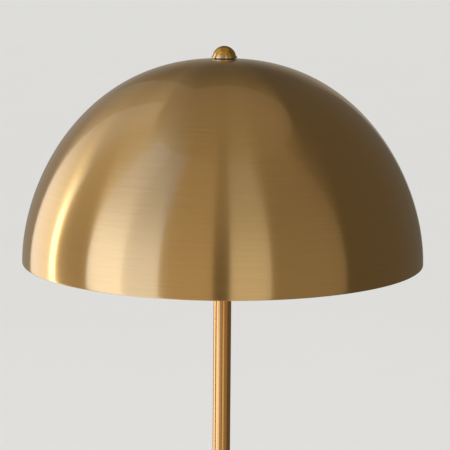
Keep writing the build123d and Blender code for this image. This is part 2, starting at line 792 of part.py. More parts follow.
with BuildPart() as driver_board:
    with BuildSketch(level(bulb_bottom + driver_bottom)):
        Rectangle(driver_width, driver_thickness)
    extrude(amount=led_board_top - led_board_thickness - bulb_bottom - driver_bottom)
save(driver_board, "driver_board")


# ---- Shade and finial ---------------------------------------------------------------------------

def dome_curve(radius, height):
    """From the rim, leaning in a little, over the shoulder to the crown's flat."""
    return Bezier((radius, rim_bottom),
                  (radius * (1 - dome_lean), rim_bottom + height * dome_upright),
                  (radius * dome_shoulder, rim_bottom + height * (1 - dome_fall)),
                  (shade_seat_radius, rim_bottom + height))


with BuildPart() as shade:
    with BuildSketch(Plane.XZ):
        with BuildLine():
            outside = dome_curve(shade_radius, shade_height)
            inside = dome_curve(shade_inner, shade_height - shade_wall)
            Line(outside @ 0, inside @ 0)
            Polyline(outside @ 1, (shade_hole, crown_top), (shade_hole, crown_under), inside @ 1)
        make_face()
        with Locations((shade_inner - shade_hem_width, rim_bottom)):
            Rectangle(shade_hem_width + shade_wall / 2, shade_hem_height, align=Align.MIN)
    revolve(axis=Axis.Z)
    fillet(shade.edges().filter_by(GeomType.CIRCLE).group_by(Axis.Z)[0], shade_rim_round)
save(shade, "shade")

with BuildPart() as shade_washer:
    ring(shade_washer_radius, stud_flange_top, crown_under, bore=shade_hole)
save(shade_washer, "shade_washer")

with BuildPart() as finial_washer:
    ring(finial_washer_radius, crown_top, finial_bottom, bore=shade_hole)
save(finial_washer, "finial_washer")

with BuildPart() as finial_insert:
    ring(finial_insert_radius, finial_bottom, finial_bottom + finial_insert_length,
         bore=stud_radius + shaft_clearance)
save(finial_insert, "finial_insert")

with BuildPart() as finial_knob:
    ring(finial_radius, finial_bottom, finial_bottom + finial_lip_height)
    fillet(finial_knob.edges().filter_by(GeomType.CIRCLE), finial_lip_round)
    lip_top = finial_bottom + finial_lip_height
    with BuildSketch(Plane.XZ):
        with BuildLine():
            ball_edge = (finial_radius - finial_lip_step, lip_top)
            TangentArc((0, overall_height), ball_edge, tangent=(1, 0))
            Polyline((0, overall_height), (0, lip_top), ball_edge)
        make_face()
    revolve(axis=Axis.Z)
    ring(finial_insert_radius + shaft_clearance, finial_bottom,
         finial_bottom + finial_insert_length + loose_clearance, mode=Mode.SUBTRACT)
save(finial_knob, "finial_knob")
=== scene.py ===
import json
import math

import bmesh
import bpy
from bpy.props import FloatProperty, FloatVectorProperty, PointerProperty
from mathutils import Matrix, Vector
from mathutils.geometry import interpolate_bezier


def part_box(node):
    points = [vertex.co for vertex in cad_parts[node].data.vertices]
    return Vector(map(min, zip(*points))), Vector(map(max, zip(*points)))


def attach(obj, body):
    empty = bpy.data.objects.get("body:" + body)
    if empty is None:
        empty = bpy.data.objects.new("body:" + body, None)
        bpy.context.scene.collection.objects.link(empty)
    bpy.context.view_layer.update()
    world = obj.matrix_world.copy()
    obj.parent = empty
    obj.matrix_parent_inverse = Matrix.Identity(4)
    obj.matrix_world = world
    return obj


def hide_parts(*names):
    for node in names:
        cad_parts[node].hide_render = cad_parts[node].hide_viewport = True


bl_info = {
    "name": "Mushroom floor lamp",
    "version": (1, 0, 0),
    "blender": (4, 5, 0),
    "location": "3D View > Sidebar > Lamp",
    "description": "Spun dome, finial, pole, base, harp, lampholder and bulb round the lamp's solids",
    "category": "Add Mesh",
}

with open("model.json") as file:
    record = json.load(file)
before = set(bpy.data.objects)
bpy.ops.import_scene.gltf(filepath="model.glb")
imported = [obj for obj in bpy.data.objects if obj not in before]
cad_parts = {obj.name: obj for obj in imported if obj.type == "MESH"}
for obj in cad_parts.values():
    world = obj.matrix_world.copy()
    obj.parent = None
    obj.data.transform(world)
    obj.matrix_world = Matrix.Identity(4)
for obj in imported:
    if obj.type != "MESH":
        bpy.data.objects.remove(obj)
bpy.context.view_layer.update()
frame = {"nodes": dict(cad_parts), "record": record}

MM = 0.001
NIPPLE_HOLE = 5.05 * MM     # radius of a hole that a threaded nipple goes through
POLE_HOLE = 9.02 * MM       # radius of the collar's hole round the pole
STUD_THREAD = 3.175 * MM    # radius of the finial's thread
UP = Vector((0, 0, 1))
FRONT = Vector((0, -1, 0))
BACK = Vector((0, 1, 0))


# ---- Sizes and colours a user would change --------------------------------------------------

def linear(hex_colour):
    """An sRGB hex colour as linear red, green and blue."""
    channels = [int(hex_colour[n:n + 2], 16) / 255 for n in (1, 3, 5)]
    return tuple(c / 12.92 if c <= 0.04045 else ((c + 0.055) / 1.055) ** 2.4 for c in channels)


def span(node):
    """Radius, bottom and top of a round solid."""
    low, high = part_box(node)
    return high.x, low.z, high.z


def length(name, millimetres, description):
    return FloatProperty(name=name, description=description, default=millimetres * MM, unit="LENGTH")


def colour(name, hex_colour, description):
    return FloatVectorProperty(name=name, description=description, default=linear(hex_colour),
                               subtype="COLOR", min=0.0, max=1.0)


def level(name, default, description):
    return FloatProperty(name=name, description=description, default=default, min=0.0)


class LampSizes(bpy.types.PropertyGroup):
    """Sheet thicknesses, edge rounds and thread sizes that the boxes of the solids don't give"""
    shade_wall: length("Shade wall", 1.0, "Thickness of the spun sheet")
    dome_lean: level("Dome lean", 0.002, "The dome's upright handle leans in by this part of its radius")
    dome_upright: level("Dome upright", 0.4, "Length of that handle, as a part of the dome's height")
    dome_shoulder: level("Dome shoulder", 0.692, "Radius of the crown's handle, as a part of the dome's")
    dome_fall: level("Dome fall", 0.018, "The crown's handle lies this part of the height below the flat")
    shade_seat: length("Seat radius", 13.0, "Flat on the crown under the finial")
    hem_height: length("Hem height", 4.0, "The rim is folded in by this much")
    rim_round: length("Rim round", 0.8, "Round of the folded rim")
    stud_hole: length("Stud hole", 3.625, "Radius of the hole in the crown")
    finial_lip: length("Finial lip", 2.0, "Height of the finial's flat lip")
    finial_step: length("Finial step", 0.9, "The ball starts this far inside the lip")
    pole_wall: length("Pole wall", 1.2, "Thickness of the drawn tube")
    base_wall: length("Cover wall", 1.2, "Thickness of the base's spun cover")
    base_shoulder: length("Shoulder", 9.0, "Round between the cover's top and its side")
    base_fall: length("Fall", 5.0, "The cover's top falls by this much to the shoulder")
    base_crown: length("Crown radius", 34.0, "Flat middle of the cover")
    wire: length("Harp wire", 1.9, "Radius of the harp's wire")
    thread_pitch: length("Bulb pitch", 3.629, "Rise of the bulb's thread in one turn")
    stud_pitch: length("Stud pitch", 0.941, "Rise of the finial's thread in one turn")


class LampColours(bpy.types.PropertyGroup):
    """Colours of the lamp's metals, plastics and felt"""
    dome_brass: colour("Dome brass", "#e2b873", "Spun brass under clear lacquer")
    pole_brass: colour("Pole brass", "#f0b566", "Drawn brass with a fine lengthwise grain")
    bright_brass: colour("Polished brass", "#ecb450", "Finial, collar and cap")
    # The finial's lip tone is a painted reflection: a paler colour that stands in for bright surroundings
    # mirrored in the lip's band.
    lip_painted_reflection: colour("Worn brass", "#d2be98", "The finial's lip")
    plated_brass: colour("Plated brass", "#e3c07c", "Harp and lampholder")
    raw_brass: colour("Raw brass", "#d9bb7d", "Turned studs and nipples")
    zinc: colour("Zinc plate", "#b9bcbe", "Washers, nuts and screws")
    aluminium: colour("Aluminium", "#d5d7d9", "Screw shells")
    iron: colour("Cast iron", "#4a4a4c", "Base weight")
    felt: colour("Felt", "#1d1d1f", "Pads")
    rubber: colour("Rubber", "#18181a", "Cord bush")
    white_plastic: colour("White plastic", "#eeede8", "Bulb body and terminal block")
    opal: colour("Opal plastic", "#f5f2ea", "Bulb globe")
    phenolic: colour("Black phenolic", "#141415", "Switch knob and insulators")
    fibre: colour("Fibre", "#5a4531", "Pressed lining of the lampholder")
    board: colour("Board", "#e3e6e2", "Circuit laminate")
    brown_lead: colour("Brown lead", "#5e3318", "Live lead")
    blue_lead: colour("Blue lead", "#1f57a3", "Neutral lead")
    earth_lead: colour("Green and yellow lead", "#2f8f3a", "Earth lead")


class LampStudio(bpy.types.PropertyGroup):
    """The studio's plain light"""
    floor_colour: colour("Floor", "#ecebe8", "Matt painted floor")
    sky: level("Sky level", 0.85, "Even light from all round")
    key_power: level("Key power", 22.0, "Large soft lamp at the front left")
    fill_power: level("Fill power", 8.0, "Large soft lamp at the front right")


# ---- Meshes ---------------------------------------------------------------------------------

class Arc:
    """A turn of the pen round a centre, anticlockwise in degrees, seen with X right and Z up."""

    def __init__(self, centre, degrees, steps):
        self.centre, self.degrees, self.steps = centre, degrees, steps


def draw(bm, start, *moves, closed=False):
    """Draws a section in the XZ plane with straight runs to points, and arcs."""
    first = pen = bm.verts.new((start[0], 0, start[1]))
    for move in moves:
        if isinstance(move, Arc):
            turned = bmesh.ops.spin(bm, geom=[pen], cent=(move.centre[0], 0, move.centre[1]), axis=FRONT,
                                    angle=math.radians(move.degrees), steps=move.steps, use_merge=False,
                                    use_duplicate=False)
            pen = only(turned["geom_last"], bmesh.types.BMVert)[0]
        else:
            drawn = bmesh.ops.extrude_vert_indiv(bm, verts=[pen])
            pen = drawn["verts"][0]
            pen.co = (move[0], 0, move[1])
    if closed:
        bm.edges.new((pen, first))


def turn(bm, steps=128):
    """Turns the section round the Z axis, closes the seam and points the faces outwards."""
    bmesh.ops.spin(bm, geom=bm.verts[:] + bm.edges[:], cent=(0, 0, 0), axis=UP, angle=math.tau,
                   steps=steps, use_merge=True, use_duplicate=False)
    bmesh.ops.remove_doubles(bm, verts=bm.verts, dist=1e-6)
    bmesh.ops.dissolve_degenerate(bm, dist=1e-7, edges=bm.edges)
    bmesh.ops.recalc_face_normals(bm, faces=bm.faces)


def soften(bm, crease=28.0):
    """Smooth faces, with edges left sharp where they turn by more than the crease angle."""
    for face in bm.faces:
        face.smooth = True
    for edge in bm.edges:
        edge.smooth = edge.calc_face_angle(0.0) < math.radians(crease)


def place_mesh(bm, name):
    """Makes the mesh an object at the scene's origin."""
    mesh = bpy.data.meshes.new(name)
    bm.to_mesh(mesh)
    bm.free()
    made = bpy.data.objects.new(name, mesh)
    bpy.context.scene.collection.objects.link(made)
    return made


def finish_piece(bm, name, body, nodes, finish, crease=28.0):
    """Makes the mesh an object, which rides on its body in place of its solids."""
    soften(bm, crease)
    piece = place_mesh(bm, name)
    piece.data.materials.append(finish)
    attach(piece, body)
    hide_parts(*nodes)
    return piece


def drill(piece, point, axis, radius, depth):
    """Cuts a round hole through a finished piece."""
    bm = bmesh.new()
    place = Matrix.Translation(point) @ axis.to_track_quat("Z", "Y").to_matrix().to_4x4()
    bmesh.ops.create_cone(bm, cap_ends=True, segments=48, radius1=radius, radius2=radius, depth=depth,
                          matrix=place)
    cutter = place_mesh(bm, "drill")
    cut = piece.modifiers.new("hole", "BOOLEAN")
    cut.operation, cut.solver, cut.object = "DIFFERENCE", "EXACT", cutter
    bpy.context.view_layer.update()
    made = bpy.data.meshes.new_from_object(piece.evaluated_get(bpy.context.evaluated_depsgraph_get()))
    piece.modifiers.clear()
    uncut, piece.data = piece.data, made
    made.name = piece.name
    drilled = cutter.data
    bpy.data.objects.remove(cutter)
    for spent in (uncut, drilled):
        bpy.data.meshes.remove(spent)


def only(geometry, kind):
    """The vertices, or the edges, among what an operator made."""
    return [each for each in geometry if isinstance(each, kind)]


def wave_thread(bm, bottom, top, pitch, depth, fade, test):
    """Presses a round right-handed thread into a turned wall, fading out at both ends."""
    for vert in bm.verts:
        if not test(vert.co) or not bottom <= vert.co.z <= top:
            continue
        turns = math.atan2(vert.co.y, vert.co.x) / math.tau
        ends = min(1.0, (vert.co.z - bottom) / fade, (top - vert.co.z) / fade)
        dip = depth * ends * (0.5 - 0.5 * math.cos(math.tau * (vert.co.z / pitch - turns)))
        radius = math.hypot(vert.co.x, vert.co.y)
        vert.co.xy *= (radius - dip) / radius


# ---- Materials ------------------------------------------------------------------------------

def add(tree, kind, inputs=(), **settings):
    """Adds a node with its settings, and sets or links its inputs."""
    made = tree.nodes.new(kind)
    for name, value in settings.items():
        setattr(made, name, value)
    for name, value in dict(inputs).items():
        if isinstance(value, bpy.types.NodeSocket):
            tree.links.new(value, made.inputs[name])
        else:
            made.inputs[name].default_value = value
    return made


def rgba(value):
    return (*value[:3], 1.0)


def empty_tree(owner):
    """The node tree of a material or world, with nothing in it."""
    owner.use_nodes = True
    owner.node_tree.nodes.clear()
    return owner.node_tree


def shader(name):
    """A new material with its node tree, its surface shader and its coordinates."""
    made = bpy.data.materials.new(name)
    tree = empty_tree(made)
    surface = add(tree, "ShaderNodeBsdfPrincipled")
    add(tree, "ShaderNodeOutputMaterial", {"Surface": surface.outputs["BSDF"]})
    place = add(tree, "ShaderNodeTexCoord").outputs["Object"]
    return made, tree, surface, place


def settle(surface, **values):
    """Sets sockets of the surface shader that are the same all over."""
    for name, value in values.items():
        surface.inputs[name.replace("_", " ")].default_value = value


def between(tree, factor, low, high):
    """Spreads a 0 to 1 pattern over a range of numbers."""
    return add(tree, "ShaderNodeMapRange", {"Value": factor, "To Min": low, "To Max": high}).outputs["Result"]


def tinted(tree, base, factor, darkest, lightest):
    """The base colour, darker and lighter with a 0 to 1 pattern."""
    value = between(tree, factor, darkest, lightest)
    return add(tree, "ShaderNodeHueSaturation", {"Color": rgba(base), "Value": value}).outputs["Color"]


def lines_round(tree, place, centre_height, spacing, drift):
    """Concentric lines on a turned piece: a pattern of the distance along its side from the crown,
    which changes only slowly round it."""
    axes = add(tree, "ShaderNodeSeparateXYZ", {"Vector": place})
    out = add(tree, "ShaderNodeVectorMath", {0: place, 1: (1.0, 1.0, 0.0)}, operation="MULTIPLY")
    radius = add(tree, "ShaderNodeVectorMath", {0: out.outputs["Vector"]}, operation="LENGTH")
    height = add(tree, "ShaderNodeMath", {0: axes.outputs["Z"], 1: centre_height}, operation="SUBTRACT")
    way = add(tree, "ShaderNodeMath", {0: radius.outputs["Value"], 1: height.outputs["Value"]},
              operation="SUBTRACT")
    slow = add(tree, "ShaderNodeVectorMath", {0: place, "Scale": 1 / drift}, operation="SCALE")
    parts = add(tree, "ShaderNodeSeparateXYZ", {"Vector": slow.outputs["Vector"]})
    fast = add(tree, "ShaderNodeMath", {0: way.outputs["Value"], 1: 1 / spacing}, operation="MULTIPLY")
    joined = add(tree, "ShaderNodeCombineXYZ", {"X": parts.outputs["X"], "Y": parts.outputs["Y"],
                                                "Z": fast.outputs["Value"]})
    return joined.outputs["Vector"]


def bump(tree, surface, height, depth, strength, over=None):
    inputs = {"Height": height, "Distance": depth, "Strength": strength}
    if over:
        inputs["Normal"] = over
    made = add(tree, "ShaderNodeBump", inputs).outputs["Normal"]
    tree.links.new(made, surface.inputs["Normal"])
    return made


def brush_round(tree, surface):
    """Metal rubbed while it turns, under clear lacquer: reflections are drawn out along the piece and
    stay narrow round it, and the lacquer adds a sharp one on top."""
    tangent = add(tree, "ShaderNodeTangent", direction_type="RADIAL", axis="Z").outputs["Tangent"]
    tree.links.new(tangent, surface.inputs["Tangent"])
    settle(surface, Metallic=1.0, Anisotropic=1.0, Anisotropic_Rotation=0.25, Coat_Weight=1.0,
           Coat_Roughness=0.05)


def spun_brass(base, centre_height):
    """Spun sheet brass, rubbed with fine grit while it turns, under clear lacquer: each bright or dark
    part of the room is drawn out into a band from rim to crown."""
    made, tree, surface, place = shader("spun_lacquered_brass")
    lines = add(tree, "ShaderNodeTexNoise", {
        "Vector": lines_round(tree, place, centre_height, 1.1 * MM, 60 * MM), "Scale": 1.0, "Detail": 3.0,
        "Roughness": 0.65}).outputs["Fac"]
    # Polishing marks are some 0.1 mm apart, and are drawn ten times coarser so that they show.
    cloud = add(tree, "ShaderNodeTexNoise", {"Vector": place, "Scale": 1 / (90 * MM), "Detail": 3.0,
                                             "Roughness": 0.55}).outputs["Fac"]
    tree.links.new(tinted(tree, base, lines, 0.88, 1.12), surface.inputs["Base Color"])
    rough = add(tree, "ShaderNodeMath", {0: between(tree, lines, -0.03, 0.03),
                                         1: between(tree, cloud, 0.22, 0.26)}, operation="ADD")
    tree.links.new(rough.outputs["Value"], surface.inputs["Roughness"])
    bump(tree, surface, lines, 0.01 * MM, 0.15)
    brush_round(tree, surface)
    return made


def drawn_brass(base):
    """Drawn brass tube, polished on a lathe and lacquered: the eye sees hair lines and fine upright
    streaks of light along it."""
    made, tree, surface, place = shader("drawn_lacquered_brass_tube")
    across, along = 0.7 * MM, 60 * MM
    grain = add(tree, "ShaderNodeMapping", {"Vector": place, "Scale": (1 / across, 1 / across, 1 / along)})
    hair = add(tree, "ShaderNodeTexNoise", {"Vector": grain.outputs["Vector"], "Scale": 1.0, "Detail": 3.0,
                                            "Roughness": 0.6}).outputs["Fac"]
    tree.links.new(tinted(tree, base, hair, 0.88, 1.12), surface.inputs["Base Color"])
    tree.links.new(between(tree, hair, 0.18, 0.28), surface.inputs["Roughness"])
    bump(tree, surface, hair, 0.01 * MM, 0.2)
    brush_round(tree, surface)
    return made


def bright_metal(name, base, rough, spacing, coat):
    """Turned metal buffed bright: faint lathe lines and soft mottling under sharp reflections."""
    made, tree, surface, place = shader(name)
    rings = add(tree, "ShaderNodeMapping", {"Vector": place, "Scale": (12.0, 12.0, 1 / spacing)})
    lines = add(tree, "ShaderNodeTexNoise", {"Vector": rings.outputs["Vector"], "Scale": 1.0,
                                             "Detail": 2.0}).outputs["Fac"]
    cloud = add(tree, "ShaderNodeTexNoise", {"Vector": place, "Scale": 1 / (14 * MM),
                                             "Detail": 3.0}).outputs["Fac"]
    tree.links.new(tinted(tree, base, cloud, 0.92, 1.06), surface.inputs["Base Color"])
    tree.links.new(between(tree, lines, rough * 0.8, rough * 1.25), surface.inputs["Roughness"])
    bump(tree, surface, lines, 0.01 * MM, 0.15)
    settle(surface, Metallic=1.0, Coat_Weight=coat, Coat_Roughness=0.05)
    return made


def finial_brass(base, pale, lip_top):
    """Polished brass whose lip is painted a paler tone: a painted reflection of bright surroundings on the
    lip's band.
    """
    made, tree, surface, place = shader("polished_brass_with_painted_lip_reflection")
    height = add(tree, "ShaderNodeSeparateXYZ", {"Vector": place}).outputs["Z"]
    # Mask of the lip below its top edge, where the paler tone paints a reflection on the band.
    soft_edge = add(tree, "ShaderNodeMapRange", {"Value": height, "From Min": lip_top - 0.1 * MM,
                                            "From Max": lip_top + 0.4 * MM}).outputs["Result"]
    cloud = add(tree, "ShaderNodeTexNoise", {"Vector": place, "Scale": 1 / (14 * MM), "Detail": 3.0})
    tones = [tinted(tree, tone, cloud.outputs["Fac"], 0.92, 1.06) for tone in (pale, base)]
    mix = add(tree, "ShaderNodeMix", {"Factor": soft_edge, 6: tones[0], 7: tones[1]}, data_type="RGBA")
    tree.links.new(mix.outputs[2], surface.inputs["Base Color"])
    tree.links.new(between(tree, cloud.outputs["Fac"], 0.10, 0.18), surface.inputs["Roughness"])
    settle(surface, Metallic=1.0, Coat_Weight=0.5, Coat_Roughness=0.05)
    return made


def dull_metal(name, base, rough, grain, relief):
    """Plated or cast metal: a grain that breaks up its reflections."""
    made, tree, surface, place = shader(name)
    spots = add(tree, "ShaderNodeTexNoise", {"Vector": place, "Scale": 1 / grain, "Detail": 4.0,
                                             "Roughness": 0.6}).outputs["Fac"]
    tree.links.new(tinted(tree, base, spots, 0.8, 1.15), surface.inputs["Base Color"])
    tree.links.new(between(tree, spots, rough - 0.08, rough + 0.1), surface.inputs["Roughness"])
    bump(tree, surface, spots, relief, 0.4)
    settle(surface, Metallic=1.0)
    return made


def moulded(name, base, rough, grain, relief, ior=1.5, **more):
    """Moulded plastic or rubber: an even colour with a fine tooled skin."""
    made, tree, surface, place = shader(name)
    skin = add(tree, "ShaderNodeTexNoise", {"Vector": place, "Scale": 1 / grain,
                                            "Detail": 2.0}).outputs["Fac"]
    cloud = add(tree, "ShaderNodeTexNoise", {"Vector": place, "Scale": 1 / (25 * MM)}).outputs["Fac"]
    tree.links.new(tinted(tree, base, cloud, 0.95, 1.04), surface.inputs["Base Color"])
    tree.links.new(between(tree, skin, rough - 0.06, rough + 0.06), surface.inputs["Roughness"])
    bump(tree, surface, skin, relief, 0.3)
    settle(surface, IOR=ior, **more)
    return made


def felt_cloth(base):
    """Pressed wool felt: matted short fibres, with a soft sheen along its edge."""
    made, tree, surface, place = shader("pressed_felt")
    fibres = add(tree, "ShaderNodeTexNoise", {"Vector": place, "Scale": 1 / (0.8 * MM), "Detail": 5.0,
                                              "Roughness": 0.75, "Distortion": 1.5}).outputs["Fac"]
    tree.links.new(tinted(tree, base, fibres, 0.5, 1.7), surface.inputs["Base Color"])
    bump(tree, surface, fibres, 0.25 * MM, 0.7)
    settle(surface, Roughness=0.95, Sheen_Weight=0.4, Sheen_Roughness=0.5)
    return made


def striped_lead(base):
    """Earth insulation: green, striped with yellow."""
    made, tree, surface, place = shader("striped_lead_insulation")
    stripe = add(tree, "ShaderNodeTexWave", {"Vector": place, "Scale": 1 / (8 * MM)},
                 bands_direction="X").outputs["Fac"]
    step = add(tree, "ShaderNodeMath", {0: stripe, 1: 0.5}, operation="GREATER_THAN").outputs["Value"]
    mix = add(tree, "ShaderNodeMix", {"Factor": step, 6: rgba(base), 7: rgba(linear("#e2c22a"))},
              data_type="RGBA")
    tree.links.new(mix.outputs[2], surface.inputs["Base Color"])
    settle(surface, Roughness=0.4)
    return made


finishes = {}


def finish(slot):
    """The material of one of the record's slots, made when it is first asked for."""
    if slot in finishes:
        return finishes[slot]
    hues = bpy.context.scene.lamp_colours
    rim = span("shade")[1]
    lip_top = span("finial_knob")[1] + bpy.context.scene.lamp_sizes.finial_lip
    recipes = {
        "brushed_brass": lambda: spun_brass(hues.dome_brass, rim),
        "polished_brass": lambda: bright_metal("polished_lacquered_brass", hues.bright_brass, 0.16,
                                               0.5 * MM, 0.5),
        # The finial's lip is painted a paler tone, a painted reflection of bright surroundings.
        "finial_brass": lambda: finial_brass(hues.bright_brass, hues.lip_painted_reflection, lip_top),
        "plated_brass": lambda: bright_metal("brass_plated_steel", hues.plated_brass, 0.24, 1.0 * MM, 0.0),
        "raw_brass": lambda: bright_metal("machined_brass", hues.raw_brass, 0.3, 0.3 * MM, 0.0),
        "zinc_steel": lambda: dull_metal("zinc_plated_steel", hues.zinc, 0.38, 3 * MM, 0.01 * MM),
        "aluminium_shell": lambda: bright_metal("rolled_aluminium", hues.aluminium, 0.28, 0.4 * MM, 0.0),
        "iron": lambda: dull_metal("cast_iron", hues.iron, 0.62, 1.2 * MM, 0.15 * MM),
        "felt": lambda: felt_cloth(hues.felt),
        "rubber": lambda: moulded("moulded_rubber", hues.rubber, 0.55, 0.4 * MM, 0.02 * MM),
        "white_plastic": lambda: moulded("moulded_polycarbonate", hues.white_plastic, 0.34, 0.5 * MM,
                                         0.01 * MM, 1.58, Subsurface_Weight=0.1, Subsurface_Scale=0.002),
        "opal_plastic": lambda: moulded("opal_polycarbonate", hues.opal, 0.3, 0.5 * MM, 0.006 * MM, 1.58,
                                        Subsurface_Weight=0.5, Subsurface_Scale=0.004),
        "black_phenolic": lambda: moulded("moulded_phenolic", hues.phenolic, 0.22, 0.7 * MM, 0.01 * MM, 1.6),
        "fibre": lambda: moulded("pressed_fibre", hues.fibre, 0.8, 0.6 * MM, 0.08 * MM),
        "board": lambda: moulded("circuit_laminate", hues.board, 0.4, 0.8 * MM, 0.02 * MM),
        "brown_lead": lambda: moulded("brown_lead_insulation", hues.brown_lead, 0.4, 0.6 * MM, 0.01 * MM),
        "blue_lead": lambda: moulded("blue_lead_insulation", hues.blue_lead, 0.4, 0.6 * MM, 0.01 * MM),
        "earth_lead": lambda: striped_lead(hues.earth_lead),
        "drawn_brass": lambda: drawn_brass(hues.pole_brass),
    }
    finishes[slot] = recipes[slot]()
    return finishes[slot]


# ---- Pieces ---------------------------------------------------------------------------------

class LAMP_OT_shade(bpy.types.Operator):
    """Spins the dome with its folded rim"""
    bl_idname = "lamp.shade"
    bl_label = "Shade"

    def execute(self, context):
        sizes = context.scene.lamp_sizes
        radius, rim, crown = span("shade")
        wall, seat, rounded = sizes.shade_wall, sizes.shade_seat, sizes.rim_round
        hem, hem_top = radius - 2 * wall, rim + sizes.hem_height

        def side(depth, steps):
            """The dome's profile at a depth inside its outer face, from the rim to the flat."""
            across, height = radius - depth, crown - rim - depth
            upright = Vector((across * (1 - sizes.dome_lean), rim + height * sizes.dome_upright))
            shoulder = Vector((across * sizes.dome_shoulder, rim + height * (1 - sizes.dome_fall)))
            curve = interpolate_bezier(Vector((across, rim)), upright, shoulder,
                                       Vector((seat, rim + height)), steps)
            return [tuple(point) for point in curve]

        outside = [point for point in side(0.0, 96) if point[1] > rim + rounded]
        inside = [point for point in side(wall, 72) if point[1] > hem_top]
        corner = outside[0][0] - rounded
        bm = bmesh.new()
        draw(bm, (sizes.stud_hole, crown), *reversed(outside), (outside[0][0], rim + rounded),
             Arc((corner, rim + rounded), -90, 5),
             (hem + rounded, rim), Arc((hem + rounded, rim + rounded), -90, 5),
             (hem, hem_top - 0.3 * wall), (hem + 0.3 * wall, hem_top), (inside[0][0], hem_top),
             *inside, (sizes.stud_hole, crown - wall), closed=True)
        turn(bm, 320)
        finish_piece(bm, "dome", "shade", ["shade"], finish("brushed_brass"))
        return {"FINISHED"}


class LAMP_OT_finial(bpy.types.Operator):
    """Turns the finial: a ball over a flat lip, bored for its threaded insert"""
    bl_idname = "lamp.finial"
    bl_label = "Finial"

    def execute(self, context):
        sizes = context.scene.lamp_sizes
        radius, bottom, top = span("finial_knob")
        insert, _, insert_top = span("finial_insert")
        bore, bore_end = insert + 0.05 * MM, insert_top + 0.3 * MM
        lip, edge = bottom + sizes.finial_lip, 0.35 * MM
        foot = radius - sizes.finial_step
        ball = ((top - lip) ** 2 + foot ** 2) / (2 * (top - lip))
        centre = top - ball
        low_angle = math.degrees(math.atan2(lip - centre, foot))
        bm = bmesh.new()
        draw(bm, (0, bore_end), (bore, bore_end), (bore, bottom),
             (radius - edge, bottom), Arc((radius - edge, bottom + edge), 90, 5),
             (radius, lip - edge), Arc((radius - edge, lip - edge), 90, 5),
             (foot, lip), Arc((0, centre), 90 - low_angle, 40))
        turn(bm, 160)
        finish_piece(bm, "finial", "finial", ["finial_knob"], finish("finial_brass"), 40)
        return {"FINISHED"}


class LAMP_OT_pole(bpy.types.Operator):
    """Draws the pole's three tubes and turns its cap"""
    bl_idname = "lamp.pole"
    bl_label = "Pole"

    def execute(self, context):
        sizes = context.scene.lamp_sizes
        edge = 0.25 * MM
        for node in ("pole_lower", "pole_middle", "pole_upper"):
            radius, bottom, top = span(node)
            bore = radius - sizes.pole_wall
            bm = bmesh.new()
            draw(bm, (bore, bottom), (radius - edge, bottom), Arc((radius - edge, bottom + edge), 90, 3),
                 (radius, top - edge), Arc((radius - edge, top - edge), 90, 3), (bore, top), closed=True)
            turn(bm, 96)
            finish_piece(bm, node + "_tube", "stand", [node], finish("drawn_brass"))
        radius, bottom, top = span("pole_cap")
        neck, rounded, rim = 7.4 * MM, 0.6 * MM, bottom + 1.4 * MM
        bm = bmesh.new()
        draw(bm, (NIPPLE_HOLE, bottom), (radius - edge, bottom), Arc((radius - edge, bottom + edge), 90, 3),
             (radius, rim), Arc((radius - rounded, rim), 60, 4), (neck, top - 0.1 * MM),
             (neck - 0.3 * MM, top), (NIPPLE_HOLE, top), closed=True)
        turn(bm, 96)
        finish_piece(bm, "pole_top_cap", "stand", ["pole_cap"], finish("polished_brass"))
        return {"FINISHED"}


